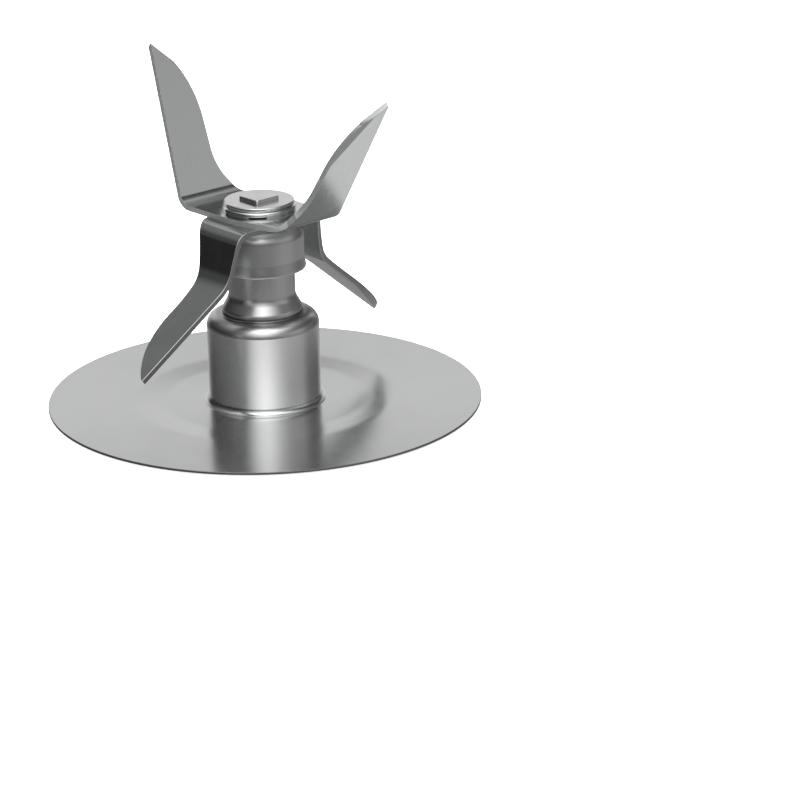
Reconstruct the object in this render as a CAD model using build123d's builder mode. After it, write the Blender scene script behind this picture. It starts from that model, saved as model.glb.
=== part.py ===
"""Blender blade assembly: a drawn disc and hub that carry a spinning shaft with four bent blades."""
import os

from build123d import *

os.makedirs("parts", exist_ok=True)

# Drawn base: disc, hub and neck from one sheet of stainless steel
sheet = 0.35
disc_radius = 30.0
recess_radius = 16.0
recess_slope = 4.0
recess_depth = 0.25
recess_fillet = 20.0
neck_radius = 4.6
neck_length = 5.9
step_slope = 0.9
step_rise = 1.6
step_wall = 0.8
shoulder_width = 2.25
body_height = 12.95
foot_fillet = 0.9
shoulder_fillet = 1.7
groove_fillet = 0.2
step_fillet = 0.8
neck_fillet = 2.0

# Fits
seat_clearance = 0.02
running_clearance = 0.03
square_clearance = 0.04
end_float = 0.05

# Shaft
shaft_radius = 2.5
square_side = 3.6
head_spread = 0.2
head_height = 0.5
head_fillet = 0.35
head_edge_fillet = 0.15
ring_groove_depth = 0.4

# Bearings and seals inside the hub
flange_thickness = 2.2
spigot_gap = 0.05
felt_length = 2.6
bushing_length = 3.0
seal_length = 1.7
seal_lip_depth = 0.9
seal_lip_width = 0.5
seal_groove_width = 0.35
part_gap = 0.1
bushing_chamfer = 0.2
spigot_chamfer = 0.3

# Washers, sleeve and ring on the shaft
washer_bore_clearance = 0.1
thrust_thickness = 0.5
thrust_radius = 5.0
thrust_inset = 0.1
sleeve_radius = 3.5
gasket_thickness = 0.6
ring_thickness = 0.55
ring_radius = 4.2
ring_mouth = 70.0
ring_eye_radius = 0.45
ring_eye_turn = 18.0

# Drive socket
socket_clearance = 1.0
socket_square = 7.6
socket_corner_fillet = 0.6
socket_web = 2.2
socket_lift = 0.3
socket_lead_in = 0.4

# Cap over the neck
cap_sheet = 0.5
cap_clearance = 0.9
cap_height = 6.65
cap_fillet = 2.2
cap_flare = 0.2
cap_flare_height = 1.6
cap_overlap = 1.85

# Blades
blade_sheet = 0.75
grind_land = 0.42
grind_shift = 0.6
grind_width = 0.65
upper_turns = (0.0, 180.0)
upper_fold = 8.0
upper_bend_radius = 1.6
upper_bend_angles = (55.0, 70.0)
upper_spine = 6.0
upper_flank = 8.0
upper_swell = 0.7
upper_hollow_reach = 5.4
upper_waist_reach = 9.4
upper_waist = 1.0
upper_length = 21.15
upper_tip_spine = 4.5
upper_tip_width = 0.45
upper_tip_back = 0.45
lower_turns = (90.0, 270.0)
lower_fold = 6.6
lower_bend_radius = 1.6
lower_bend_angle = 71.0
lower_drops = (5.5, 3.7)
lower_flare_radius = 5.0
lower_slope_angles = (39.5, 33.0)
lower_spine = 5.8
lower_flank = 11.0
lower_swell = 0.45
lower_hollow_share = 0.26
lower_waist_share = 0.34
lower_waist = -0.3
lower_lengths = (17.6, 16.0)
lower_tip_spine = 5.8
lower_tip_width = 0.5
lower_tip_back = 0.2

# Clamp stack above the blades
spring_thickness = 0.75
spring_radius = 5.0
spring_fillet = 0.4
notch_width = 2.5
notch_height = 0.15
notch_turn = 42.0
washer_thickness = 0.6
washer_radius = 4.85
washer_chamfer = 0.12

# Radii that follow from the neck outwards
step_radius = neck_radius + step_slope
body_radius = step_radius + shoulder_width
neck_bore = neck_radius - sheet
step_bore = step_radius - sheet
body_bore = body_radius - sheet
top_thrust_radius = neck_radius - thrust_inset
cap_radius = neck_radius + cap_clearance + cap_sheet
gasket_radius = cap_radius - cap_fillet - part_gap
socket_radius = body_bore - socket_clearance
head_side = square_side + 2 * head_spread

# Heights, from the underside of the disc's middle upwards
floor_top = sheet
rim_top = floor_top + recess_depth
body_roof = body_height - sheet
step_top = body_height + step_wall
neck_base = step_top + step_rise
neck_top = neck_base + neck_length
flange_bottom = body_roof - flange_thickness
spigot_top = step_top - spigot_gap
felt_bottom = spigot_top
upper_bushing_bottom = felt_bottom + felt_length
seal_bottom = upper_bushing_bottom + bushing_length
top_thrust_bottom = neck_top + end_float
sleeve_bottom = top_thrust_bottom + thrust_thickness
fibre_top = flange_bottom - end_float
steel_top = fibre_top - thrust_thickness
ring_top = steel_top - thrust_thickness
ring_bottom = ring_top - ring_thickness
socket_top = ring_bottom - part_gap
socket_floor = socket_top - socket_web
cap_top = neck_top - cap_overlap + cap_height
cap_roof = cap_top - cap_sheet
gasket_bottom = cap_roof - gasket_thickness
lower_blade_bottom = cap_top
upper_blade_bottom = lower_blade_bottom + blade_sheet
spring_bottom = upper_blade_bottom + blade_sheet
washer_bottom = spring_bottom + spring_thickness
head_bottom = washer_bottom + washer_thickness
washer_bore = shaft_radius + washer_bore_clearance
square_hole = square_side + 2 * square_clearance
mid_sheet = blade_sheet / 2


def finish(piece, name):
    """Label a finished piece and write its file."""
    piece.part.label = name
    export_step(piece.part, f"parts/{name}.step")


def ring(outer, inner, bottom):
    """Face of a flat ring about the shaft."""
    with BuildSketch(Plane.XY.offset(bottom)) as face:
        Circle(outer)
        Circle(inner, mode=Mode.SUBTRACT)
    return face.sketch


def square_ring(outer, bottom):
    """Face of a flat disc with the shaft's square hole."""
    with BuildSketch(Plane.XY.offset(bottom)) as face:
        Circle(outer)
        Rectangle(square_hole, square_hole, mode=Mode.SUBTRACT)
    return face.sketch


def rim_edges(piece):
    """Outer circular edges of a turned piece."""
    return piece.edges().filter_by(GeomType.CIRCLE).group_by(SortBy.RADIUS)[-1]


def strip_start(turn, reach, bottom):
    """Cross-section plane of a strip that leaves the shaft at an angle: x across it, y up, z outwards."""
    outwards = Vector(1, 0, 0).rotate(Axis.Z, turn)
    across = Vector(0, 1, 0).rotate(Axis.Z, turn)
    return Plane(origin=outwards * reach + Vector(0, 0, bottom), x_dir=across, z_dir=outwards)


def strip_section(plane, spine):
    """Cross-section of a blade strip before its cutting side is cut."""
    with BuildSketch(plane) as section:
        with Locations((0, mid_sheet)):
            Rectangle(2 * spine, blade_sheet)
    return section.sketch


def bend_axis(plane, angle, inside_radius):
    """Axis that a strip is bent about: above the sheet to bend it up, below it to bend it down."""
    if angle > 0:
        return Axis(plane.from_local_coords((0, blade_sheet + inside_radius)), -plane.x_dir)
    return Axis(plane.from_local_coords((0, -inside_radius)), plane.x_dir)


def after_bend(plane, angle, inside_radius):
    """Cross-section plane at the far end of a bend."""
    axis = bend_axis(plane, angle, inside_radius)
    spin = Axis((0, 0, 0), axis.direction)
    centre = axis.position
    far = centre + (plane.origin - centre).rotate(spin, abs(angle))
    return Plane(origin=far, x_dir=plane.x_dir, z_dir=plane.z_dir.rotate(spin, abs(angle)))


def wing_plane(plane):
    """Underside of the flat wing that follows a cross-section: x outwards, y towards the spine."""
    return Plane(origin=plane.origin, x_dir=plane.z_dir, z_dir=plane.y_dir)


def plate(bottom, turn, fold, spine):
    """Flat middle of a blade, with the shaft's square hole."""
    with BuildSketch(Plane.XY.offset(bottom)) as middle:
        Rectangle(2 * fold, 2 * spine, rotation=turn)
        Rectangle(square_hole, square_hole, mode=Mode.SUBTRACT)
    return middle.sketch


def wing_blank(plane, spine, length, tip_spine, tip_width, tip_back):
    """Flat wing before its cutting side is cut: a straight spine and a blunt tip."""
    end = length - tip_back * (tip_spine + spine) / tip_width
    with BuildSketch(plane) as blank:
        with BuildLine():
            Polyline((0, -spine), (0, spine), (length, tip_spine), (end, -spine), close=True)
        make_face()
    return blank.sketch


def fold_view(section, angle):
    """Plane half way between a plate and its folded wing: x outwards, y towards the spine."""
    outwards = section.z_dir.rotate(Axis((0, 0, 0), -section.x_dir), angle / 2)
    return Plane(origin=section.origin, x_dir=outwards, z_dir=outwards.cross(section.x_dir))


def flattened(view, point):
    """A point as a view sees it."""
    seen = view.to_local_coords(point)
    return Vector(seen.X, seen.Y)


def cutting_waste(view, flank, hollow, waist, tip, swell):
    """Waste outside a cutting edge: plate flank, hollow root, straight waist, then a swell to the tip."""
    inflection = flank + (hollow - flank) * swell
    outside = 2 * flank.Y
    with BuildSketch(view) as waste:
        with BuildLine():
            TangentArc(flank, inflection, tangent=(1, 0))
            TangentArc(hollow, inflection, tangent=(-1, 0))
            Line(hollow, waist)
            edge = TangentArc(waist, tip, tangent=(1, 0))
            past_tip = tip + (edge % 1) * tip.Y
            Polyline(tip, past_tip, (past_tip.X, outside), (flank.X, outside), flank)
        make_face()
    return waste.sketch


def grind_wedge(plane, waist, tip):
    """Wedge that a flat wheel takes off the underside of a cutting edge, out to a straight heel."""
    along = (plane.from_local_coords(tip) - plane.from_local_coords(waist)).normalized()
    outwards = along.cross(plane.z_dir)
    heel = Plane(origin=plane.from_local_coords(waist) + outwards * grind_shift, x_dir=outwards, z_dir=along)
    depth = blade_sheet - grind_land
    with BuildSketch(heel) as wedge:
        with BuildLine():
            Polyline((0, 0), (2 * grind_width, -2 * depth), (2 * grind_width, 0), close=True)
        make_face()
    return wedge.sketch


# Base: the outer skin of the sheet from the rim to the neck, thickened inwards and turned about the shaft
slope_outside = recess_radius + recess_slope / 2
slope_inside = recess_radius - recess_slope / 2
with BuildPart() as base_plate:
    with BuildSketch(Plane.XZ):
        with BuildLine():
            FilletPolyline(
                (disc_radius, rim_top),
                (slope_outside, rim_top),
                (slope_inside, floor_top),
                (body_radius, floor_top),
                (body_radius, body_height),
                (step_radius, body_height),
                (step_radius, step_top),
                (neck_radius, neck_base),
                (neck_radius, neck_top),
                radius=[
                    recess_fillet,
                    recess_fillet,
                    foot_fillet,
                    shoulder_fillet,
                    groove_fillet,
                    step_fillet,
                    neck_fillet,
                ],
            )
            offset(amount=sheet, side=Side.LEFT)
        make_face()
    revolve(axis=Axis.Z)
finish(base_plate, "base_plate")

# Lower bushing: a flange under the shoulder and a spigot in the step
journal_bore = shaft_radius + running_clearance
with BuildPart() as lower_bushing:
    extrude(ring(body_bore - seat_clearance, journal_bore, flange_bottom), amount=flange_thickness)
    fillet(rim_edges(lower_bushing).sort_by(Axis.Z)[-1], radius=shoulder_fillet - sheet + seat_clearance)
    extrude(ring(step_bore - seat_clearance, journal_bore, body_roof), amount=spigot_top - body_roof)
    spigot_edges = lower_bushing.edges().filter_by(GeomType.CIRCLE).group_by(Axis.Z)[-1]
    chamfer(spigot_edges.sort_by(SortBy.RADIUS)[-1], length=spigot_chamfer)
finish(lower_bushing, "lower_bushing")

# Oil felt between the bushings
with BuildPart() as oil_felt:
    extrude(ring(neck_bore - seat_clearance, washer_bore, felt_bottom), amount=felt_length)
finish(oil_felt, "oil_felt")

# Upper bushing in the neck
with BuildPart() as upper_bushing:
    extrude(ring(neck_bore - seat_clearance, journal_bore, upper_bushing_bottom), amount=bushing_length)
    chamfer(rim_edges(upper_bushing), length=bushing_chamfer)
finish(upper_bushing, "upper_bushing")

# Shaft seal: a rubber ring in the neck's mouth with a lip that wipes the shaft
seal_radius = neck_bore - seat_clearance
seal_top = seal_bottom + seal_length
with BuildPart() as shaft_seal:
    extrude(ring(seal_radius, journal_bore, seal_bottom), amount=seal_length)
    lip_radius = journal_bore + seal_lip_width
    lip_groove = ring(lip_radius + seal_groove_width, lip_radius, seal_top - seal_lip_depth)
    extrude(lip_groove, amount=seal_lip_depth, mode=Mode.SUBTRACT)
finish(shaft_seal, "shaft_seal")

# Shaft: round journal, ring groove, square top for the blades and a peened square head
journal_length = cap_roof - socket_floor
with BuildPart() as shaft:
    with BuildSketch(Plane.XY.offset(socket_floor)):
        Circle(shaft_radius)
    extrude(amount=journal_length)
    chamfer(rim_edges(shaft).sort_by(Axis.Z)[0], length=bushing_chamfer)
    groove = ring(shaft_radius, shaft_radius - ring_groove_depth, ring_bottom - part_gap / 2)
    extrude(groove, amount=ring_thickness + part_gap, mode=Mode.SUBTRACT)
    with BuildSketch(Plane.XY.offset(cap_roof)):
        Rectangle(square_side, square_side)
        Circle(shaft_radius, mode=Mode.INTERSECT)
    extrude(amount=head_bottom - cap_roof)
    with BuildSketch(Plane.XY.offset(head_bottom)):
        RectangleRounded(head_side, head_side, head_fillet)
    extrude(amount=head_height)
    fillet(shaft.faces().sort_by(Axis.Z)[-1].edges(), radius=head_edge_fillet)
finish(shaft, "shaft")

# Drive socket: a cup with a square hole for the motor's stud, pressed on the foot of the shaft
socket_depth = socket_floor - socket_lift
with BuildPart() as drive_socket:
    with BuildSketch(Plane.XY.offset(socket_lift)):
        Circle(socket_radius)
    extrude(amount=socket_top - socket_lift)
    chamfer(rim_edges(drive_socket), length=socket_lead_in)
    with BuildSketch(Plane.XY.offset(socket_lift)):
        RectangleRounded(socket_square, socket_square, socket_corner_fillet)
    extrude(amount=socket_depth, mode=Mode.SUBTRACT)
    mouth = drive_socket.faces().sort_by(Axis.Z)[0].inner_wires()[0]
    chamfer(mouth.edges(), length=socket_lead_in)
    with BuildSketch(Plane.XY.offset(socket_floor)):
        Circle(shaft_radius + seat_clearance)
    extrude(amount=socket_web, mode=Mode.SUBTRACT)
finish(drive_socket, "drive_socket")

# Retaining ring: an open spring ring with two plier eyes, in the shaft's groove
ring_bore = shaft_radius - ring_groove_depth + seat_clearance
ring_middle = (ring_radius + ring_bore) / 2
with BuildPart() as retaining_ring:
    with BuildSketch(Plane.XY.offset(ring_bottom)):
        Circle(ring_radius)
        Circle(ring_bore, mode=Mode.SUBTRACT)
        with BuildLine():
            mouth_arc = CenterArc((0, 0), 2 * ring_radius, -ring_mouth / 2, ring_mouth)
            Polyline(mouth_arc @ 1, (0, 0), mouth_arc @ 0)
        make_face(mode=Mode.SUBTRACT)
        eye_angle = ring_mouth / 2 + ring_eye_turn
        with PolarLocations(ring_middle, 2, eye_angle, -2 * eye_angle):
            Circle(ring_eye_radius, mode=Mode.SUBTRACT)
    extrude(amount=ring_thickness)
finish(retaining_ring, "retaining_ring")

# Thrust washers: fibre and steel under the lower bushing, low-friction plastic on the neck's mouth
with BuildPart() as fibre_washer:
    extrude(ring(thrust_radius, washer_bore, steel_top), amount=thrust_thickness)
finish(fibre_washer, "fibre_washer")

with BuildPart() as steel_washer:
    extrude(ring(thrust_radius, washer_bore, ring_top), amount=thrust_thickness)
finish(steel_washer, "steel_washer")

with BuildPart() as top_thrust_washer:
    extrude(ring(top_thrust_radius, washer_bore, top_thrust_bottom), amount=thrust_thickness)
finish(top_thrust_washer, "top_thrust_washer")

# Spacer sleeve between the thrust washer and the cap's gasket
with BuildPart() as spacer_sleeve:
    sleeve_end = ring(sleeve_radius, shaft_radius + seat_clearance, sleeve_bottom)
    extrude(sleeve_end, amount=gasket_bottom - sleeve_bottom)
finish(spacer_sleeve, "spacer_sleeve")

# Cap gasket, which stops liquid creeping down the square
with BuildPart() as cap_gasket:
    extrude(ring(gasket_radius, shaft_radius + seat_clearance, gasket_bottom), amount=gasket_thickness)
finish(cap_gasket, "cap_gasket")

# Cap: a drawn cup over the neck, with a slightly flared rim
cap_bottom = cap_top - cap_height
with BuildPart() as seal_cap:
    with BuildSketch(Plane.XZ):
        with BuildLine():
            FilletPolyline(
                (0, cap_top),
                (cap_radius, cap_top),
                (cap_radius, cap_bottom + cap_flare_height),
                (cap_radius + cap_flare, cap_bottom),
                radius=[cap_fillet, cap_flare_height / 2],
            )
            offset(amount=cap_sheet, side=Side.RIGHT)
        make_face()
    revolve(axis=Axis.Z)
    with BuildSketch(Plane.XY.offset(cap_roof)):
        Rectangle(square_hole, square_hole)
    extrude(amount=cap_sheet, mode=Mode.SUBTRACT)
finish(seal_cap, "seal_cap")

# Upper blade: a flat strip on the square with two wings folded up to different angles
with BuildPart() as upper_blade:
    extrude(plate(upper_blade_bottom, upper_turns[0], upper_fold, upper_spine), amount=blade_sheet)
    for turn, angle in zip(upper_turns, upper_bend_angles):
        section = strip_start(turn, upper_fold, upper_blade_bottom)
        fold_axis = bend_axis(section, angle, upper_bend_radius)
        revolve(strip_section(section, upper_spine), fold_axis, revolution_arc=angle)
        wing = wing_plane(after_bend(section, angle, upper_bend_radius))
        tip_shape = (upper_tip_spine, upper_tip_width, upper_tip_back)
        extrude(wing_blank(wing, upper_spine, upper_length, *tip_shape), amount=blade_sheet)
        waist = (upper_waist_reach, -upper_waist)
        tip = (upper_length - upper_tip_back, upper_tip_spine - upper_tip_width)
        view = fold_view(section, angle)
        flank = section.from_local_coords((-upper_spine, mid_sheet, -upper_flank))
        edge = [(upper_hollow_reach, -upper_waist), waist, tip]
        points = [flank] + [wing.from_local_coords((*point, mid_sheet)) for point in edge]
        waste = cutting_waste(view, *[flattened(view, point) for point in points], upper_swell)
        extrude(waste, amount=upper_length, both=True, mode=Mode.SUBTRACT)
        extrude(grind_wedge(wing, waist, tip), amount=upper_length, mode=Mode.SUBTRACT)
finish(upper_blade, "upper_blade")

# Lower blade: a flat strip under the upper one with two wings folded down and flared out again
with BuildPart() as lower_blade:
    extrude(plate(lower_blade_bottom, lower_turns[0], lower_fold, lower_spine), amount=blade_sheet)
    for turn, fall, slope, length in zip(lower_turns, lower_drops, lower_slope_angles, lower_lengths):
        section = strip_start(turn, lower_fold, lower_blade_bottom)
        fold_axis = bend_axis(section, -lower_bend_angle, lower_bend_radius)
        revolve(strip_section(section, lower_spine), fold_axis, revolution_arc=lower_bend_angle)
        drop = after_bend(section, -lower_bend_angle, lower_bend_radius)
        extrude(strip_section(drop, lower_spine), amount=fall)
        flare = drop.offset(fall)
        flare_angle = lower_bend_angle - slope
        flare_axis = bend_axis(flare, flare_angle, lower_flare_radius)
        revolve(strip_section(flare, lower_spine), flare_axis, revolution_arc=flare_angle)
        wing = wing_plane(after_bend(flare, flare_angle, lower_flare_radius))
        tip_shape = (lower_tip_spine, lower_tip_width, lower_tip_back)
        extrude(wing_blank(wing, lower_spine, length, *tip_shape), amount=blade_sheet)
        waist = (length * lower_waist_share, -lower_waist)
        tip = (length - lower_tip_back, lower_tip_spine - lower_tip_width)
        view = fold_view(section, -lower_bend_angle)
        flank = section.from_local_coords((-lower_spine, mid_sheet, -lower_flank))
        edge = [(length * lower_hollow_share, -lower_waist), waist, tip]
        points = [flank] + [wing.from_local_coords((*point, mid_sheet)) for point in edge]
        waste = cutting_waste(view, *[flattened(view, point) for point in points], lower_swell)
        extrude(waste, amount=lower_flank, both=True, mode=Mode.SUBTRACT)
        extrude(grind_wedge(wing, waist, tip), amount=length, mode=Mode.SUBTRACT)
finish(lower_blade, "lower_blade")

# Spring washer: a ring with a rounded upper rim and one notch in its underside
notch_outwards = Vector(1, 0, 0).rotate(Axis.Z, -notch_turn)
notch_across = Vector(0, 1, 0).rotate(Axis.Z, -notch_turn)
with BuildPart() as spring_washer:
    extrude(square_ring(spring_radius, spring_bottom), amount=spring_thickness)
    fillet(rim_edges(spring_washer).sort_by(Axis.Z)[-1], radius=spring_fillet)
    with BuildSketch(Plane(origin=(0, 0, spring_bottom), x_dir=notch_across, z_dir=notch_outwards)):
        Rectangle(notch_width, 2 * notch_height)
    extrude(amount=2 * spring_radius, mode=Mode.SUBTRACT)
finish(spring_washer, "spring_washer")

# Top washer, which the head of the shaft is peened down on
with BuildPart() as top_washer:
    extrude(square_ring(washer_radius, washer_bottom), amount=washer_thickness)
    chamfer(rim_edges(top_washer), length=washer_chamfer)
finish(top_washer, "top_washer")
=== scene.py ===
"""Blender blade assembly in polished steel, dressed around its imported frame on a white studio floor."""

import math

import bmesh
import bpy
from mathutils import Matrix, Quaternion, Vector, noise


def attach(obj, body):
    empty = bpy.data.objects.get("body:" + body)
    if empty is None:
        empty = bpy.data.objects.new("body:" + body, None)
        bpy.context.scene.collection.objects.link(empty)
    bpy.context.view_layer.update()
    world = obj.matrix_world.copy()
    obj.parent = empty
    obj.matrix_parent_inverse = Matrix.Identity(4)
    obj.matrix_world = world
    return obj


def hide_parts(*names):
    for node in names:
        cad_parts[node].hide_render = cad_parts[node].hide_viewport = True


bl_info = {
    "name": "Blade Assembly Kit",
    "version": (1, 0, 0),
    "blender": (4, 5, 0),
    "location": "3D View > Sidebar > Blade Kit",
    "description": "Steel pieces, finishes and studio of a jar blender's blade assembly",
    "category": "Object",
}

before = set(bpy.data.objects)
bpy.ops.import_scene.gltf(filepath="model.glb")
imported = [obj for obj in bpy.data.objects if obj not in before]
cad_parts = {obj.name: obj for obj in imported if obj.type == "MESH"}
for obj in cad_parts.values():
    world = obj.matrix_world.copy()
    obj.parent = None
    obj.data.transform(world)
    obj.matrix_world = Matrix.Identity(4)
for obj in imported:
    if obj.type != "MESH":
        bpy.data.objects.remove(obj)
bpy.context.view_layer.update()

MM = 0.001
FULL_TURN = 2 * math.pi

# Bodies of the frame
BASE = "base"
ROTOR = "rotor"

# How fine round forms are
SPIN_STEPS = 240
FILLET_SEGMENTS = 8
FILLET_SEGMENTS_PER_RADIAN = 6
EDGE_SEGMENTS = 3

# Edges that turn more than these are worked edges, which get a small rounding: on solids, and on the shell
CREASE_ANGLE = math.radians(24)
SHEARED_ANGLE = math.radians(50)

# Cleaning of copied meshes, and how strongly flat faces hold their normals
FLAT_ANGLE = math.radians(0.4)
MERGE_DISTANCE = 1e-6
FLAT_WEIGHT = 60

# Material slots of the drawn shell, of the cap and of a blade
SHELL_HUB, SHELL_NECK, SHELL_EDGE = 1, 2, 3
CAP_WALL, CAP_RIM = 0, 1
BLADE_FLAT, BLADE_BEVEL, BLADE_EDGE = 0, 1, 2

# How far a blade's face leans across the strip where it is a ground bevel, and where it is a sheared edge
GRIND_LEAN = 0.2
EDGE_LEAN = 0.8

# How strongly turning marks stretch the reflections on each turned piece, and their turn on the tangent
DISC_STRETCH = 0.4
HUB_STRETCH = 0.88
NECK_STRETCH = 0.2
CAP_STRETCH = 0.1
SHAFT_STRETCH = 0.4
QUARTER_TURN = 0.25

# Painted shade: dark steel colour painted in rings into the groove above the shoulder and under the cap's
# overhang, where shade falls: its colour, its darkest share, and its reach in two places
PAINTED_SHADE_COLOUR = (0.2, 0.195, 0.19, 1.0)
PAINTED_SHADE_CORE = 0.35
GROOVE_PAINTED_SHADE = 0.3 * MM
UNDER_CAP_PAINTED_SHADE = 0.5 * MM

# Colours of the pieces inside the hub and the cap
BRONZE = (0.5, 0.33, 0.16)
FELT = (0.5, 0.44, 0.35)
RUBBER = (0.022, 0.022, 0.023)
PLASTIC = (0.8, 0.8, 0.77)
FIBRE = (0.28, 0.075, 0.045)

# Pieces inside the hub and the cap, and the finish each one has
INNER_FINISHES = {
    "lower_bushing": "oiled_bronze",
    "upper_bushing": "oiled_bronze",
    "oil_felt": "wool_felt",
    "shaft_seal": "black_rubber",
    "cap_gasket": "black_rubber",
    "top_thrust_washer": "white_plastic",
    "fibre_washer": "red_fibre",
    "spacer_sleeve": "turned_steel",
    "steel_washer": "tumbled_steel",
}

# Clamped and driven pieces with their finishes and slots
CLAMP_STACK = {
    "spring_washer": ("tumbled_steel", "shaft_steel"),
    "top_washer": ("tumbled_steel", "shaft_steel"),
    "shaft": ("turned_steel", "shaft_steel"),
}
DRIVE_PARTS = {
    "drive_socket": ("sintered_steel", "socket_steel"),
    "retaining_ring": ("tumbled_steel", "shaft_steel"),
}

# The studio's lights. Each is a product of smooth ramps: the direction that the ramp runs in, where it
# begins and ends in it, from -1 to 1, and the light at both ends. Right, back and up are as the camera
# sees the room, and aside is the distance to either side.
ROOM_LIGHTS = {
    "window on the right": (
        ("right", 0.3, 0.95, 0.0, 0.6),
        ("back", -0.15, 0.2, 1.0, 0.3),
        ("up", -0.15, 0.1, 0.2, 1.0),
        ("up", 0.3, 0.5, 1.0, 0.0),
    ),
    "ceiling": (
        ("up", 0.42, 0.68, 0.1, 1.0),
        ("right", -0.6, 0.7, 0.25, 0.14),
    ),
    "wall behind": (
        ("back", 0.35, 0.85, 0.0, 0.85),
        ("aside", 0.35, 0.65, 1.0, 0.0),
        ("up", 0.38, 0.56, 1.0, 0.0),
        ("up", -0.3, -0.05, 0.0, 1.0),
    ),
    "lower soft box in front": (
        ("aside", 0.0, 0.82, 1.0, 0.0),
        ("back", -0.25, 0.05, 1.0, 0.0),
        ("up", 0.04, 0.27, 0.0, 1.4),
        ("up", 0.93, 1.0, 1.0, 0.4),
    ),
    "upper soft box in front": (
        ("aside", 0.0, 0.82, 1.0, 0.0),
        ("back", -0.25, 0.05, 1.0, 0.0),
        ("up", 0.46, 0.72, 0.0, 1.1),
        ("up", 0.93, 1.0, 1.0, 0.4),
    ),
    "table under the part": (
        ("up", -0.75, -0.5, 0.5, 0.0),
        ("back", -0.2, 0.3, 0.3, 1.0),
        ("right", -0.5, 0.2, 0.15, 1.0),
    ),
    "table around the part": (
        ("up", -0.35, -0.05, 1.0, 0.0),
        ("right", -0.9, 0.6, 0.2, 0.38),
    ),
    "overhead": (("up", 0.7, 0.88, 0.0, 0.6),),
    "dim left side": (
        ("right", -0.95, -0.5, 0.06, 0.0),
        ("up", 0.14, 0.3, 0.0, 1.0),
    ),
}
SEEN_WHITE = 1.0

# Floor and camera values that a user has no need to change
FLOOR_ROUGHNESS = 0.9
FLOOR_GLOW = 0.75
CLIP_START = 0.01
CLIP_END = 20.0


class BladeKitSizes(bpy.types.PropertyGroup):
    """Sizes of the drawn shell and of the worked edges."""

    disc_radius: bpy.props.FloatProperty(
        name="Disc radius", description="Radius of the disc's rim", default=30.0 * MM, unit="LENGTH"
    )
    rim_height: bpy.props.FloatProperty(
        name="Rim height", description="Height of the rim's upper face", default=0.6 * MM, unit="LENGTH"
    )
    recess_outside: bpy.props.FloatProperty(
        name="Recess outside",
        description="Radius where the ring step starts",
        default=18.0 * MM,
        unit="LENGTH",
    )
    recess_inside: bpy.props.FloatProperty(
        name="Recess inside",
        description="Radius where the ring step ends",
        default=14.0 * MM,
        unit="LENGTH",
    )
    recess_fillet: bpy.props.FloatProperty(
        name="Recess fillet", description="Rounding of the ring step", default=20.0 * MM, unit="LENGTH"
    )
    hub_radius: bpy.props.FloatProperty(
        name="Hub radius", description="Outer radius of the hub", default=7.75 * MM, unit="LENGTH"
    )
    hub_height: bpy.props.FloatProperty(
        name="Hub height", description="Height of the hub's shoulder", default=12.95 * MM, unit="LENGTH"
    )
    foot_fillet: bpy.props.FloatProperty(
        name="Foot fillet", description="Rounding between hub and disc", default=0.9 * MM, unit="LENGTH"
    )
    shoulder_fillet: bpy.props.FloatProperty(
        name="Shoulder fillet",
        description="Rounding of the hub's shoulder",
        default=1.7 * MM,
        unit="LENGTH",
    )
    step_radius: bpy.props.FloatProperty(
        name="Step radius",
        description="Outer radius of the step above the shoulder",
        default=5.5 * MM,
        unit="LENGTH",
    )
    step_height: bpy.props.FloatProperty(
        name="Step height", description="Height of the step's wall top", default=13.75 * MM, unit="LENGTH"
    )
    groove_fillet: bpy.props.FloatProperty(
        name="Groove fillet",
        description="Rounding between shoulder and step",
        default=0.2 * MM,
        unit="LENGTH",
    )
    neck_radius: bpy.props.FloatProperty(
        name="Neck radius", description="Outer radius of the neck", default=4.6 * MM, unit="LENGTH"
    )
    neck_foot: bpy.props.FloatProperty(
        name="Neck foot", description="Height where the neck starts", default=15.35 * MM, unit="LENGTH"
    )
    neck_fillet: bpy.props.FloatProperty(
        name="Neck fillet", description="Rounding of the neck's foot", default=2.0 * MM, unit="LENGTH"
    )
    step_fillet: bpy.props.FloatProperty(
        name="Step fillet",
        description="Rounding of the step's upper edge",
        default=0.8 * MM,
        unit="LENGTH",
    )
    neck_top: bpy.props.FloatProperty(
        name="Neck top", description="Height of the neck's mouth", default=21.25 * MM, unit="LENGTH"
    )
    sheet: bpy.props.FloatProperty(
        name="Sheet", description="Thickness of the drawn sheet", default=0.35 * MM, unit="LENGTH"
    )
    rim_rounding: bpy.props.FloatProperty(
        name="Rim rounding",
        description="Rounding of the shell's sheared edges",
        default=0.07 * MM,
        unit="LENGTH",
    )
    blade_rounding: bpy.props.FloatProperty(
        name="Blade rounding",
        description="Rounding of the blades' edges",
        default=0.2 * MM,
        unit="LENGTH",
    )
    stack_rounding: bpy.props.FloatProperty(
        name="Stack rounding",
        description="Rounding of washers, shaft and socket",
        default=0.06 * MM,
        unit="LENGTH",
    )
    cap_rounding: bpy.props.FloatProperty(
        name="Cap rounding", description="Rounding of the cap's rim", default=0.12 * MM, unit="LENGTH"
    )
    burr: bpy.props.FloatProperty(
        name="Burr", description="Unevenness of the cap's sheared rim", default=0.14 * MM, unit="LENGTH"
    )
    burr_pitch: bpy.props.FloatProperty(
        name="Burr pitch",
        description="Distance between the teeth of the burr",
        default=0.8 * MM,
        unit="LENGTH",
    )


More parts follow.
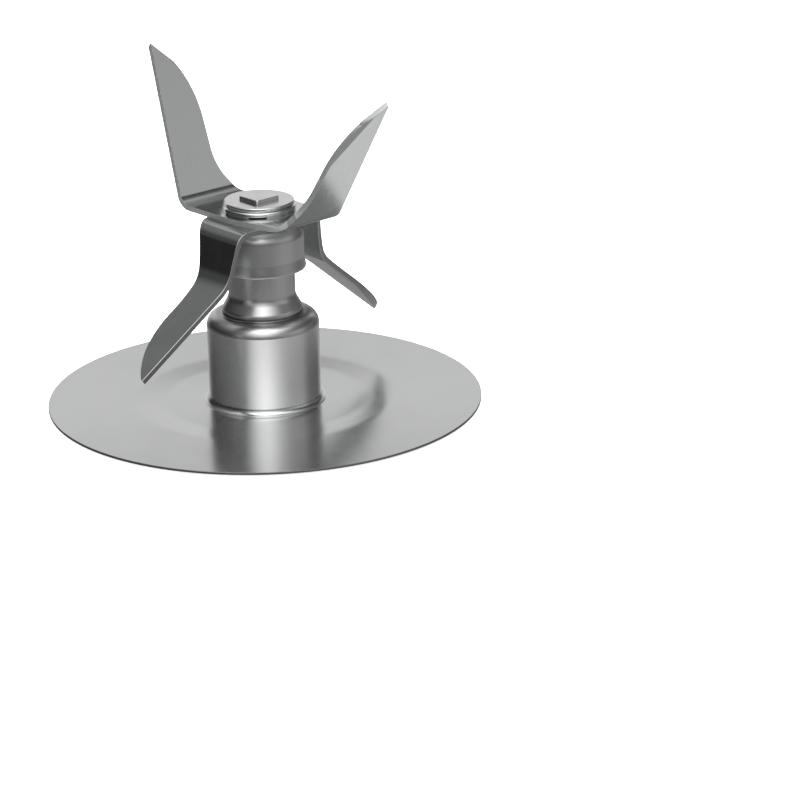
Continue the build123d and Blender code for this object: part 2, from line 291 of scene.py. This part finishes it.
class BladeKitFinish(bpy.types.PropertyGroup):
    """Colours and gloss of the pieces."""

    disc_colour: bpy.props.FloatVectorProperty(
        name="Disc steel", description="Colour of the disc", default=(0.575, 0.585, 0.58), subtype="COLOR"
    )
    disc_roughness: bpy.props.FloatProperty(
        name="Disc roughness", description="Roughness of the disc", default=0.21, subtype="FACTOR"
    )
    # Painted highlight: the hub's wall is given a far lighter steel than the disc and neck of the same drawn
    # sheet, so that its reflection reads brighter.
    hub_colour_painted_bright: bpy.props.FloatVectorProperty(
        name="Hub steel",
        description="Colour of the hub's wall",
        default=(0.92, 0.925, 0.92),
        subtype="COLOR",
    )
    hub_roughness: bpy.props.FloatProperty(
        name="Hub roughness", description="Roughness of the hub's wall", default=0.38, subtype="FACTOR"
    )
    neck_colour: bpy.props.FloatVectorProperty(
        name="Neck steel",
        description="Colour of neck and cap",
        default=(0.55, 0.555, 0.55),
        subtype="COLOR",
    )
    neck_roughness: bpy.props.FloatProperty(
        name="Neck roughness", description="Roughness of neck and cap", default=0.32, subtype="FACTOR"
    )
    edge_colour: bpy.props.FloatVectorProperty(
        name="Edge steel",
        description="Colour of the shell's sheared edges",
        default=(0.22, 0.22, 0.22),
        subtype="COLOR",
    )
    blade_colour: bpy.props.FloatVectorProperty(
        name="Blade steel",
        description="Colour of the blades",
        default=(0.55, 0.565, 0.56),
        subtype="COLOR",
    )
    blade_roughness: bpy.props.FloatProperty(
        name="Blade roughness", description="Roughness of the blades", default=0.15, subtype="FACTOR"
    )
    blade_edge_colour: bpy.props.FloatVectorProperty(
        name="Blade edges",
        description="Colour of the blades' sheared edges",
        default=(0.6, 0.61, 0.605),
        subtype="COLOR",
    )
    stack_colour: bpy.props.FloatVectorProperty(
        name="Stack steel",
        description="Colour of washers and shaft",
        default=(0.62, 0.625, 0.62),
        subtype="COLOR",
    )
    # This dark steel also colours the lower blade's sheared edges, partly as painted shade under the upper
    # blade.
    socket_colour: bpy.props.FloatVectorProperty(
        name="Socket steel",
        description="Colour of the drive socket and of tumbled edges",
        default=(0.3, 0.3, 0.305),
        subtype="COLOR",
    )


class BladeKitStage(bpy.types.PropertyGroup):
    """Floor, lights and camera."""

    floor_size: bpy.props.FloatProperty(
        name="Floor size", description="Side of the floor", default=6.0, unit="LENGTH"
    )
    floor_colour: bpy.props.FloatVectorProperty(
        name="Floor", description="Colour of the floor", default=(0.9, 0.9, 0.9), subtype="COLOR"
    )
    lamp_height: bpy.props.FloatProperty(
        name="Lamp height", description="Height of the overhead lamp", default=0.8, unit="LENGTH"
    )
    lamp_size: bpy.props.FloatProperty(
        name="Lamp size", description="Side of the overhead lamp", default=0.7, unit="LENGTH"
    )
    lamp_power: bpy.props.FloatProperty(
        name="Lamp power", description="Power of the overhead lamp", default=11.0, unit="POWER"
    )
    camera_place: bpy.props.FloatVectorProperty(
        name="Camera place",
        description="Where the camera stands",
        default=(0.32935, -0.2667, 0.15192),
        unit="LENGTH",
    )
    camera_aim: bpy.props.FloatVectorProperty(
        name="Camera aim",
        description="Point on the camera's axis",
        default=(0.01236, 0.01399, -0.00051),
        unit="LENGTH",
    )
    camera_roll: bpy.props.FloatProperty(
        name="Camera roll",
        description="Turn about the camera's axis",
        default=math.radians(1.048),
        subtype="ANGLE",
    )
    camera_lens: bpy.props.FloatProperty(
        name="Lens", description="Focal length in millimetres", default=145.76
    )
    room_turn: bpy.props.FloatProperty(
        name="Room turn",
        description="Turn of the room's light round the part",
        default=math.radians(-51),
        subtype="ANGLE",
    )


# Small helpers for node trees


def fresh_tree(owner):
    """An empty node tree on a material or a world."""
    owner.use_nodes = True
    owner.node_tree.nodes.clear()
    return owner.node_tree


def put(value, socket, tree):
    """Link an output to a socket, or set a constant on it."""
    if isinstance(value, bpy.types.NodeSocket):
        tree.links.new(value, socket)
    else:
        socket.default_value = value


def math_node(tree, operation, *values):
    """Output of a Math node."""
    node = tree.nodes.new("ShaderNodeMath")
    node.operation = operation
    for value, socket in zip(values, node.inputs):
        put(value, socket, tree)
    return node.outputs["Value"]


def combined(tree, operation, values):
    """Several values added or multiplied, one after the other."""
    result, *others = values
    for value in others:
        result = math_node(tree, operation, result, value)
    return result


def blended(tree, first, second, share):
    """Two values mixed by a constant share of the second."""
    rest = math_node(tree, "MULTIPLY", first, 1 - share)
    part = math_node(tree, "MULTIPLY", second, share)
    return math_node(tree, "ADD", rest, part)


def ramp(tree, value, low, high, start, end):
    """A value that goes smoothly from start at low to end at high."""
    node = tree.nodes.new("ShaderNodeMapRange")
    node.interpolation_type = "SMOOTHSTEP"
    put(value, node.inputs["Value"], tree)
    node.inputs["From Min"].default_value = low
    node.inputs["From Max"].default_value = high
    node.inputs["To Min"].default_value = start
    node.inputs["To Max"].default_value = end
    return node.outputs["Result"]


def uneven(tree, roughness, pattern, less, more, low=0.3, high=0.7):
    """Roughness that follows a pattern, from a little less than its mean to a little more."""
    return ramp(tree, pattern, low, high, roughness - less, roughness + more)


def axes(tree, vector):
    """The three components of a vector."""
    node = tree.nodes.new("ShaderNodeSeparateXYZ")
    tree.links.new(vector, node.inputs["Vector"])
    return [node.outputs[axis] for axis in "XYZ"]


def scaled(tree, vector, pitch):
    """Coordinates measured in pitches: one number, or one for each axis."""
    node = tree.nodes.new("ShaderNodeMapping")
    tree.links.new(vector, node.inputs["Vector"])
    pitches = pitch if isinstance(pitch, tuple) else (pitch, pitch, pitch)
    node.inputs["Scale"].default_value = [1 / each for each in pitches]
    return node.outputs["Vector"]


def grain(tree, vector, pitch, detail=2.0, roughness=0.5):
    """Noise of a given pitch, from 0 to 1."""
    node = tree.nodes.new("ShaderNodeTexNoise")
    tree.links.new(scaled(tree, vector, pitch), node.inputs["Vector"])
    node.inputs["Scale"].default_value = 1.0
    node.inputs["Detail"].default_value = detail
    node.inputs["Roughness"].default_value = roughness
    return node.outputs["Fac"]


def object_coordinates(tree):
    """Coordinates of the piece."""
    return tree.nodes.new("ShaderNodeTexCoord").outputs["Object"]


def turned_coordinates(tree, place):
    """Radius and height about the shaft, which turn noise into turning marks."""
    across, along, height = axes(tree, place)
    squares = [math_node(tree, "MULTIPLY", side, side) for side in (across, along)]
    radius = math_node(tree, "SQRT", math_node(tree, "ADD", *squares))
    join = tree.nodes.new("ShaderNodeCombineXYZ")
    tree.links.new(radius, join.inputs["X"])
    tree.links.new(height, join.inputs["Y"])
    return join.outputs["Vector"]


def strip_pitch(along, lengthwise, crosswise, upwards):
    """Pitches on X, Y and Z for a strip that runs along X or along Y."""
    if along == "X":
        return (lengthwise, crosswise, upwards)
    return (crosswise, lengthwise, upwards)


def tinted(tree, colour, value, low, high):
    """A colour made darker or lighter by a value from 0 to 1."""
    node = tree.nodes.new("ShaderNodeMix")
    node.data_type = "RGBA"
    put(value, node.inputs["Factor"], tree)
    node.inputs["A"].default_value = [channel * low for channel in colour] + [1.0]
    node.inputs["B"].default_value = [channel * high for channel in colour] + [1.0]
    return node.outputs["Result"]


def bump(tree, height, distance, strength, normal=None):
    """Normal bent by a height map."""
    node = tree.nodes.new("ShaderNodeBump")
    node.inputs["Strength"].default_value = strength
    node.inputs["Distance"].default_value = distance
    tree.links.new(height, node.inputs["Height"])
    if normal is not None:
        tree.links.new(normal, node.inputs["Normal"])
    return node.outputs["Normal"]


def surface(tree, **sockets):
    """Principled surface with the given sockets."""
    shader = tree.nodes.new("ShaderNodeBsdfPrincipled")
    for name, value in sockets.items():
        put(value, shader.inputs[name.replace("_", " ")], tree)
    output = tree.nodes.new("ShaderNodeOutputMaterial")
    tree.links.new(shader.outputs["BSDF"], output.inputs["Surface"])


# Finishes


def new_finish(name):
    """A new material, its empty node tree and the coordinates of the piece."""
    material = bpy.data.materials.new(name)
    tree = fresh_tree(material)
    return material, tree, object_coordinates(tree)


def painted_shade_ring(tree, place, colour, height, reach):
    """A colour darkened in a ring about the shaft at a given height: painted shade, as in a groove and under
    an overhang.
    """
    level = axes(tree, place)[2]
    off = math_node(tree, "ABSOLUTE", math_node(tree, "SUBTRACT", level, height))
    node = tree.nodes.new("ShaderNodeMix")
    node.data_type = "RGBA"
    node.inputs["A"].default_value = PAINTED_SHADE_COLOUR
    tree.links.new(ramp(tree, off, PAINTED_SHADE_CORE * reach, reach, 0.0, 1.0), node.inputs["Factor"])
    tree.links.new(colour, node.inputs["B"])
    return node.outputs["Result"]


def turned_steel(name, colour, roughness, stretch, painted_shade_rings=()):
    """Sheet steel polished on a lathe: fine turning marks, faint clouds and specks, and rings of painted
    shade.
    """
    material, tree, place = new_finish(name)
    marks = grain(tree, turned_coordinates(tree, place), pitch=0.3 * MM, roughness=0.6)
    clouds = grain(tree, place, pitch=5.0 * MM, detail=3.0)
    specks = grain(tree, place, pitch=0.6 * MM)
    wear = blended(tree, blended(tree, marks, specks, share=0.4), clouds, share=0.5)
    tone = blended(tree, blended(tree, marks, specks, share=0.5), clouds, share=0.45)
    steel = tinted(tree, colour, tone, low=0.91, high=1.07)
    # Painted shade: each ring darkens the colour about a height where the shell is shaded.
    for height, reach in painted_shade_rings:
        steel = painted_shade_ring(tree, place, steel, height, reach)
    normal = bump(tree, marks, distance=0.003 * MM, strength=0.08)
    normal = bump(tree, clouds, distance=0.02 * MM, strength=0.25, normal=normal)
    tangent = tree.nodes.new("ShaderNodeTangent")
    tangent.direction_type = "RADIAL"
    tangent.axis = "Z"
    surface(
        tree,
        Base_Color=steel,
        Metallic=1.0,
        Roughness=uneven(tree, roughness, wear, less=0.03, more=0.04, low=0.25, high=0.75),
        Anisotropic=stretch,
        Anisotropic_Rotation=QUARTER_TURN,
        Tangent=tangent.outputs["Tangent"],
        Normal=normal,
    )
    return material


def rolled_steel(name, colour, roughness, along):
    """Rolled blade sheet: grain along the strip, fine scratches and specks."""
    material, tree, place = new_finish(name)
    rolling_pitch = strip_pitch(along, lengthwise=6.0 * MM, crosswise=0.18 * MM, upwards=6.0 * MM)
    scratch_pitch = strip_pitch(along, lengthwise=9.0 * MM, crosswise=0.16 * MM, upwards=7.0 * MM)
    rolling = grain(tree, place, rolling_pitch, detail=3.0, roughness=0.65)
    specks = grain(tree, place, pitch=0.28 * MM, detail=3.0, roughness=0.65)
    clouds = grain(tree, place, pitch=3.5 * MM, detail=3.0)
    scratches = ramp(tree, grain(tree, place, scratch_pitch, detail=1.0), 0.68, 0.74, 0.0, 1.0)
    wear = blended(tree, blended(tree, rolling, specks, share=0.5), clouds, share=0.35)
    tone = blended(tree, blended(tree, specks, rolling, share=0.4), clouds, share=0.3)
    normal = bump(tree, rolling, distance=0.005 * MM, strength=0.35)
    normal = bump(tree, specks, distance=0.004 * MM, strength=0.3, normal=normal)
    normal = bump(tree, scratches, distance=0.003 * MM, strength=0.25, normal=normal)
    surface(
        tree,
        Base_Color=tinted(tree, colour, tone, low=0.72, high=1.24),
        Metallic=1.0,
        Roughness=uneven(tree, roughness, wear, less=0.05, more=0.07),
        Normal=normal,
    )
    return material


def ground_steel(name, colour, along):
    """Ground bevel of a cutting edge, with the wheel's lines across it."""
    material, tree, place = new_finish(name)
    line_pitch = strip_pitch(along, lengthwise=0.06 * MM, crosswise=1.5 * MM, upwards=0.06 * MM)
    lines = grain(tree, place, line_pitch, roughness=0.6)
    surface(
        tree,
        Base_Color=tinted(tree, colour, lines, low=0.65, high=1.0),
        Metallic=1.0,
        Roughness=uneven(tree, 0.35, lines, less=0.05, more=0.05, low=0.25, high=0.75),
        Normal=bump(tree, lines, distance=0.004 * MM, strength=0.4),
    )
    return material


def tumbled_steel(name, colour, roughness):
    """Small stamped steel pieces, tumbled after stamping."""
    material, tree, place = new_finish(name)
    dents = grain(tree, place, pitch=0.5 * MM)
    clouds = grain(tree, place, pitch=1.6 * MM)
    tone = blended(tree, dents, clouds, share=0.5)
    surface(
        tree,
        Base_Color=tinted(tree, colour, tone, low=0.92, high=1.08),
        Metallic=1.0,
        Roughness=uneven(tree, roughness, tone, less=0.03, more=0.04, low=0.25, high=0.75),
        Normal=bump(tree, dents, distance=0.004 * MM, strength=0.06),
    )
    return material


def sheared_steel(name, colour, roughness, metal=1.0):
    """Edge of sheared sheet: dull and torn along the cut."""
    material, tree, place = new_finish(name)
    tears = grain(tree, place, pitch=(0.4 * MM, 0.4 * MM, 0.06 * MM), detail=3.0, roughness=0.6)
    surface(
        tree,
        Base_Color=tinted(tree, colour, tears, low=0.7, high=1.3),
        Metallic=metal,
        Roughness=uneven(tree, roughness, tears, less=0.08, more=0.08),
        Normal=bump(tree, tears, distance=0.01 * MM, strength=0.5),
    )
    return material


def sintered_metal(name, colour, roughness):
    """Pressed and sintered metal with open pores."""
    material, tree, place = new_finish(name)
    cells = tree.nodes.new("ShaderNodeTexVoronoi")
    tree.links.new(scaled(tree, place, pitch=0.22 * MM), cells.inputs["Vector"])
    cells.inputs["Scale"].default_value = 1.0
    pores = ramp(tree, cells.outputs["Distance"], 0.12, 0.4, 0.0, 1.0)
    clouds = grain(tree, place, pitch=1.5 * MM, detail=3.0)
    surface(
        tree,
        Base_Color=tinted(tree, colour, blended(tree, pores, clouds, share=0.4), low=0.7, high=1.1),
        Metallic=1.0,
        Roughness=uneven(tree, roughness, clouds, less=0.06, more=0.1),
        Normal=bump(tree, pores, distance=0.02 * MM, strength=0.5),
    )
    return material


def soft_stuff(name, colour, roughness, pitch, depth, sheen=0.0):
    """Rubber, plastic, fibre or felt with a fine matt grain."""
    material, tree, place = new_finish(name)
    fine = grain(tree, place, pitch, detail=4.0, roughness=0.65)
    clouds = grain(tree, place, 8 * pitch)
    surface(
        tree,
        Base_Color=tinted(tree, colour, blended(tree, fine, clouds, share=0.4), low=0.82, high=1.15),
        Roughness=uneven(tree, roughness, fine, less=0.08, more=0.08),
        Sheen_Weight=sheen,
        Normal=bump(tree, fine, depth, strength=0.6),
    )
    return material


def floor_paint(name, colour):
    """Plain pale floor."""
    material = bpy.data.materials.new(name)
    surface(
        fresh_tree(material),
        Base_Color=[*colour, 1.0],
        Roughness=FLOOR_ROUGHNESS,
        Specular_IOR_Level=0.0,
        Emission_Color=[*colour, 1.0],
        Emission_Strength=FLOOR_GLOW,
    )
    return material


def finish_named(name, finish):
    """The finish of an inner, clamped or driven piece, made once."""
    recipes = {
        "turned_steel": (turned_steel, finish.stack_colour, 0.2, SHAFT_STRETCH),
        "tumbled_steel": (tumbled_steel, finish.stack_colour, 0.21),
        "sintered_steel": (sintered_metal, finish.socket_colour, 0.42),
        "oiled_bronze": (sintered_metal, BRONZE, 0.38),
        "wool_felt": (soft_stuff, FELT, 0.9, 0.15 * MM, 0.05 * MM, 0.4),
        "black_rubber": (soft_stuff, RUBBER, 0.6, 0.12 * MM, 0.006 * MM),
        "white_plastic": (soft_stuff, PLASTIC, 0.45, 0.2 * MM, 0.004 * MM),
        "red_fibre": (soft_stuff, FIBRE, 0.65, 0.2 * MM, 0.01 * MM),
    }
    found = bpy.data.materials.get(name)
    if found:
        return found
    make, *values = recipes[name]
    return make(name, *values)


# Small helpers for meshes


def add_piece(name, shape, body, materials, node):
    """Make an object of a bmesh, ride it on a body and let it stand for its frame node."""
    mesh = bpy.data.meshes.new(name)
    shape.to_mesh(mesh)
    shape.free()
    mesh.shade_smooth()
    piece = bpy.data.objects.new(name, mesh)
    bpy.context.scene.collection.objects.link(piece)
    for material in materials:
        mesh.materials.append(material)
    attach(piece, body)
    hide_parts(node)
    return piece


def even_normals(piece):
    """Let flat faces keep their own normals beside rounded edges."""
    modifier = piece.modifiers.new("even normals", "WEIGHTED_NORMAL")
    modifier.mode = "FACE_AREA"
    modifier.weight = FLAT_WEIGHT


def worked_edges(shape):
    """Edges that a maker would have to break: those that turn sharply."""
    pairs = [edge for edge in shape.edges if len(edge.link_faces) == 2]
    return [edge for edge in pairs if edge.calc_face_angle() > CREASE_ANGLE]


def node_shape(node):
    """A merged copy of a frame node's mesh, with its flat faces whole."""
    shape = bmesh.new()
    shape.from_mesh(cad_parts[node].data)
    bmesh.ops.remove_doubles(shape, verts=shape.verts[:], dist=MERGE_DISTANCE)
    bmesh.ops.dissolve_limit(shape, angle_limit=FLAT_ANGLE, verts=shape.verts[:], edges=shape.edges[:])
    return shape


def lowest(node):
    """Height of a frame node's lowest point."""
    return min(vert.co.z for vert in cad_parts[node].data.vertices)


def softened(node, width):
    """A copy of a frame node with its worked edges rounded."""
    shape = node_shape(node)
    bmesh.ops.bevel(
        shape,
        geom=worked_edges(shape),
        offset=width,
        offset_type="OFFSET",
        affect="EDGES",
        segments=EDGE_SEGMENTS,
        profile=0.5,
        material=-1,
        clamp_overlap=True,
        loop_slide=True,
    )
    return shape


def skin_profile(shape, corners):
    """A chain of edges in the XZ plane from (radius, height, fillet) corners, with the fillets rounded."""
    points = [shape.verts.new((radius, 0, height)) for radius, height, fillet in corners]
    for near, far in zip(points, points[1:]):
        shape.edges.new((near, far))
    for index in range(1, len(corners) - 1):
        before, at, after = (Vector(corners[index + step][:2]) for step in (-1, 0, 1))
        turn = (at - before).angle(after - at)
        bmesh.ops.bevel(
            shape,
            geom=[points[index]],
            offset=corners[index][2] * math.tan(turn / 2),
            offset_type="OFFSET",
            affect="VERTICES",
            segments=FILLET_SEGMENTS + int(turn * FILLET_SEGMENTS_PER_RADIAN),
            profile=0.5,
            material=-1,
            clamp_overlap=False,
        )


def drawn_skin(sizes):
    """Outer skin of disc, hub and neck, spun about the shaft with its faces pointing outwards."""
    corners = [
        (sizes.disc_radius, sizes.rim_height, 0),
        (sizes.recess_outside, sizes.rim_height, sizes.recess_fillet),
        (sizes.recess_inside, sizes.sheet, sizes.recess_fillet),
        (sizes.hub_radius, sizes.sheet, sizes.foot_fillet),
        (sizes.hub_radius, sizes.hub_height, sizes.shoulder_fillet),
        (sizes.step_radius, sizes.hub_height, sizes.groove_fillet),
        (sizes.step_radius, sizes.step_height, sizes.step_fillet),
        (sizes.neck_radius, sizes.neck_foot, sizes.neck_fillet),
        (sizes.neck_radius, sizes.neck_top, 0),
    ]
    shape = bmesh.new()
    skin_profile(shape, corners)
    bmesh.ops.spin(
        shape,
        geom=shape.verts[:] + shape.edges[:],
        cent=(0, 0, 0),
        axis=(0, 0, 1),
        angle=FULL_TURN,
        steps=SPIN_STEPS,
        use_merge=True,
    )
    bmesh.ops.remove_doubles(shape, verts=shape.verts[:], dist=MERGE_DISTANCE)
    bmesh.ops.recalc_face_normals(shape, faces=shape.faces[:])
    rim_face = max(shape.faces, key=lambda face: face.calc_center_median().xy.length)
    if rim_face.normal.z < 0:
        bmesh.ops.reverse_faces(shape, faces=shape.faces[:])
    return shape


def give_wall(shell, sizes):
    """Give a skin the sheet's thickness inwards and break its sheared edges."""
    wall = shell.modifiers.new("sheet", "SOLIDIFY")
    wall.thickness = sizes.sheet
    wall.offset = -1
    wall.use_even_offset = True
    wall.material_offset_rim = SHELL_EDGE
    edges = shell.modifiers.new("sheared edges", "BEVEL")
    edges.width = sizes.rim_rounding
    edges.segments = EDGE_SEGMENTS
    edges.limit_method = "ANGLE"
    edges.angle_limit = SHEARED_ANGLE


def blade_zone(lean):
    """Material slot of a blade's face by how far it leans across the strip."""
    if lean > EDGE_LEAN:
        return BLADE_EDGE
    return BLADE_BEVEL if lean > GRIND_LEAN else BLADE_FLAT


def dress_small_parts(parts, context):
    """Soften small pieces of the rotor and give them their finishes."""
    width = context.scene.blade_kit_sizes.stack_rounding
    for node, (finish, slot) in parts.items():
        material = finish_named(finish, context.scene.blade_kit_finish)
        even_normals(add_piece(f"{node}_dressed", softened(node, width), ROTOR, [material], node))


# Pieces


class BLADEKIT_OT_disc_and_hub(bpy.types.Operator):
    """Spin the drawn shell of disc, hub and neck"""

    bl_idname = "blade_kit.disc_and_hub"
    bl_label = "Disc and hub"

    def execute(self, context):
        sizes = context.scene.blade_kit_sizes
        finish = context.scene.blade_kit_finish
        shape = drawn_skin(sizes)
        hub_foot = sizes.sheet + sizes.foot_fillet
        hub_top = sizes.hub_height - sizes.shoulder_fillet
        for face in shape.faces:
            height = face.calc_center_median().z
            if hub_foot < height < hub_top:
                face.material_index = SHELL_HUB
            elif height > hub_top:
                face.material_index = SHELL_NECK
        # Painted shade: rings of dark steel in the groove above the shoulder and under the cap's rim, on the
        # neck's steel.
        painted_shade_rings = [(sizes.hub_height + sizes.groove_fillet, GROOVE_PAINTED_SHADE), (lowest("seal_cap"), UNDER_CAP_PAINTED_SHADE)]
        # Painted highlight: the hub's wall is a much lighter steel than the disc and neck of the same drawn
        # sheet.
        steels = [
            turned_steel("disc_steel", finish.disc_colour, finish.disc_roughness, DISC_STRETCH),
            turned_steel("hub_steel_painted_bright", finish.hub_colour_painted_bright, finish.hub_roughness, HUB_STRETCH),
            turned_steel("neck_steel_painted_shade", finish.neck_colour, finish.neck_roughness, NECK_STRETCH, painted_shade_rings),
            sheared_steel("rim_edge_steel", finish.edge_colour, roughness=0.48),
        ]
        shell = add_piece("disc_and_hub", shape, BASE, steels, "base_plate")
        give_wall(shell, sizes)
        even_normals(shell)
        return {"FINISHED"}


class BLADEKIT_OT_cap(bpy.types.Operator):
    """Dress the drawn cap and its slightly burred rim"""

    bl_idname = "blade_kit.cap"
    bl_label = "Cap"

    def execute(self, context):
        sizes = context.scene.blade_kit_sizes
        finish = context.scene.blade_kit_finish
        shape = softened("seal_cap", sizes.cap_rounding)
        rim = lowest("seal_cap") + sizes.cap_rounding
        for vert in shape.verts:
            if vert.co.z < rim:
                tooth = noise.noise(Vector((vert.co.x, vert.co.y, 0)) / sizes.burr_pitch)
                vert.co.z -= sizes.burr * max(tooth, 0)
        for face in shape.faces:
            face.material_index = CAP_RIM if face.calc_center_median().z < rim else CAP_WALL
        steels = [
            turned_steel("cap_steel", finish.neck_colour, finish.neck_roughness, CAP_STRETCH),
            sheared_steel("cap_rim_steel", finish.blade_edge_colour, roughness=0.5, metal=0.75),
        ]
        even_normals(add_piece("cap", shape, ROTOR, steels, "seal_cap"))
        return {"FINISHED"}


class BLADEKIT_OT_blades(bpy.types.Operator):
    """Dress the two bent and ground blades"""

    bl_idname = "blade_kit.blades"
    bl_label = "Blades"

    def execute(self, context):
        sizes = context.scene.blade_kit_sizes
        finish = context.scene.blade_kit_finish
        torn = sheared_steel("torn_edge_steel", finish.blade_edge_colour, roughness=0.45, metal=0.88)
        # Painted shade: the lower blade's sheared edges get a much darker steel than the upper blade's,
        # partly as a dull edge and partly as the shade under the upper blade.
        tumbled = sheared_steel("lower_edge_steel_painted_shade", finish.socket_colour, roughness=0.4)
        for node, along, edge_steel in (("upper_blade", "X", torn), ("lower_blade", "Y", tumbled)):
            shape = softened(node, sizes.blade_rounding)
            across = 1 if along == "X" else 0
            for face in shape.faces:
                face.material_index = blade_zone(abs(face.normal[across]))
            steels = [
                rolled_steel(f"{node}_steel", finish.blade_colour, finish.blade_roughness, along),
                ground_steel(f"{node}_bevel_steel", finish.blade_colour, along),
                edge_steel,
            ]
            even_normals(add_piece(f"{node}_ground", shape, ROTOR, steels, node))
        return {"FINISHED"}


class BLADEKIT_OT_clamp_stack(bpy.types.Operator):
    """Dress the spring washer, the top washer and the shaft with its peened head"""

    bl_idname = "blade_kit.clamp_stack"
    bl_label = "Clamp stack"

    def execute(self, context):
        dress_small_parts(CLAMP_STACK, context)
        return {"FINISHED"}


class BLADEKIT_OT_drive_parts(bpy.types.Operator):
    """Dress the drive socket and the retaining ring above it"""

    bl_idname = "blade_kit.drive_parts"
    bl_label = "Drive parts"

    def execute(self, context):
        dress_small_parts(DRIVE_PARTS, context)
        return {"FINISHED"}


class BLADEKIT_OT_inner_parts(bpy.types.Operator):
    """Give the bearings, seals and washers inside the hub and the cap their finishes"""

    bl_idname = "blade_kit.inner_parts"
    bl_label = "Inner parts"

    def execute(self, context):
        for node, name in INNER_FINISHES.items():
            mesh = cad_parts[node].data
            mesh.materials.clear()
            mesh.materials.append(finish_named(name, context.scene.blade_kit_finish))
        return {"FINISHED"}


# Stage


def add_floor(scene, stage):
    """Pale floor, which shiny pieces don't mirror."""
    shape = bmesh.new()
    bmesh.ops.create_grid(shape, x_segments=1, y_segments=1, size=stage.floor_size / 2)
    mesh = bpy.data.meshes.new("floor")
    shape.to_mesh(mesh)
    shape.free()
    mesh.materials.append(floor_paint("floor_paint", stage.floor_colour))
    floor = bpy.data.objects.new("floor", mesh)
    scene.collection.objects.link(floor)
    floor.visible_glossy = False


def add_lamp(scene, stage):
    """Overhead lamp, which shiny pieces don't mirror."""
    lamp = bpy.data.lights.new("overhead_lamp", "AREA")
    lamp.energy = stage.lamp_power
    lamp.size = stage.lamp_size
    overhead = bpy.data.objects.new("overhead_lamp", lamp)
    overhead.location = (0, 0, stage.lamp_height)
    overhead.visible_glossy = False
    scene.collection.objects.link(overhead)


def room_light(world, turn):
    """Light of the studio by direction. What the camera sees of it directly is white."""
    tree = fresh_tree(world)
    towards = tree.nodes.new("ShaderNodeMapping")
    tree.links.new(tree.nodes.new("ShaderNodeTexCoord").outputs["Generated"], towards.inputs["Vector"])
    towards.inputs["Rotation"].default_value = (0, 0, turn)
    right, back, up = axes(tree, towards.outputs["Vector"])
    directions = {"right": right, "back": back, "up": up, "aside": math_node(tree, "ABSOLUTE", right)}
    lights = []
    for ramps in ROOM_LIGHTS.values():
        fades = [ramp(tree, directions[direction], *ends) for direction, *ends in ramps]
        lights.append(combined(tree, "MULTIPLY", fades))
    shown = tree.nodes.new("ShaderNodeMix")
    path = tree.nodes.new("ShaderNodeLightPath")
    tree.links.new(path.outputs["Is Camera Ray"], shown.inputs["Factor"])
    tree.links.new(combined(tree, "ADD", lights), shown.inputs["A"])
    shown.inputs["B"].default_value = SEEN_WHITE
    background = tree.nodes.new("ShaderNodeBackground")
    tree.links.new(shown.outputs["Result"], background.inputs["Color"])
    output = tree.nodes.new("ShaderNodeOutputWorld")
    tree.links.new(background.outputs["Background"], output.inputs["Surface"])


def add_camera(scene, stage):
    """Camera that looks at the part from where the photograph was taken."""
    data = bpy.data.cameras.new("camera")
    data.lens = stage.camera_lens
    data.clip_start = CLIP_START
    data.clip_end = CLIP_END
    camera = bpy.data.objects.new("camera", data)
    sight = Vector(stage.camera_aim) - Vector(stage.camera_place)
    camera.location = stage.camera_place
    camera.rotation_mode = "QUATERNION"
    roll = Quaternion((0, 0, 1), -stage.camera_roll)
    camera.rotation_quaternion = sight.to_track_quat("-Z", "Y") @ roll
    scene.collection.objects.link(camera)
    scene.camera = camera


class BLADEKIT_OT_stage(bpy.types.Operator):
    """Set up the pale floor, the soft light and the camera"""

    bl_idname = "blade_kit.stage"
    bl_label = "Stage"

    def execute(self, context):
        scene = context.scene
        stage = scene.blade_kit_stage
        add_floor(scene, stage)
        add_lamp(scene, stage)
        scene.world = bpy.data.worlds.new("studio")
        room_light(scene.world, stage.room_turn)
        add_camera(scene, stage)
        scene.view_settings.view_transform = "Standard"
        return {"FINISHED"}


# Add-on

GROUPS = {
    "blade_kit_sizes": BladeKitSizes,
    "blade_kit_finish": BladeKitFinish,
    "blade_kit_stage": BladeKitStage,
}

STEPS = (
    BLADEKIT_OT_disc_and_hub,
    BLADEKIT_OT_cap,
    BLADEKIT_OT_blades,
    BLADEKIT_OT_clamp_stack,
    BLADEKIT_OT_drive_parts,
    BLADEKIT_OT_inner_parts,
    BLADEKIT_OT_stage,
)


class BLADEKIT_PT_sidebar(bpy.types.Panel):
    """Buttons for each group of pieces, and their settings"""

    bl_label = "Blade Assembly"
    bl_idname = "BLADEKIT_PT_sidebar"
    bl_space_type = "VIEW_3D"
    bl_region_type = "UI"
    bl_category = "Blade Kit"

    def draw(self, context):
        for step in STEPS:
            self.layout.operator(step.bl_idname)
        for name, group in GROUPS.items():
            box = self.layout.box()
            for setting in group.__annotations__:
                box.prop(getattr(context.scene, name), setting)


def register():
    """Register the settings, the steps and the sidebar."""
    for name, group in GROUPS.items():
        bpy.utils.register_class(group)
        setattr(bpy.types.Scene, name, bpy.props.PointerProperty(type=group))
    for step in STEPS:
        bpy.utils.register_class(step)
    bpy.utils.register_class(BLADEKIT_PT_sidebar)


def unregister():
    """Take back what register added."""
    bpy.utils.unregister_class(BLADEKIT_PT_sidebar)
    for step in reversed(STEPS):
        bpy.utils.unregister_class(step)
    for name, group in GROUPS.items():
        delattr(bpy.types.Scene, name)
        bpy.utils.unregister_class(group)


def main():
    """Build every piece and the stage."""
    register()
    bpy.ops.blade_kit.disc_and_hub()
    bpy.ops.blade_kit.cap()
    bpy.ops.blade_kit.blades()
    bpy.ops.blade_kit.clamp_stack()
    bpy.ops.blade_kit.drive_parts()
    bpy.ops.blade_kit.inner_parts()
    bpy.ops.blade_kit.stage()


if __name__ == "__main__":
    main()
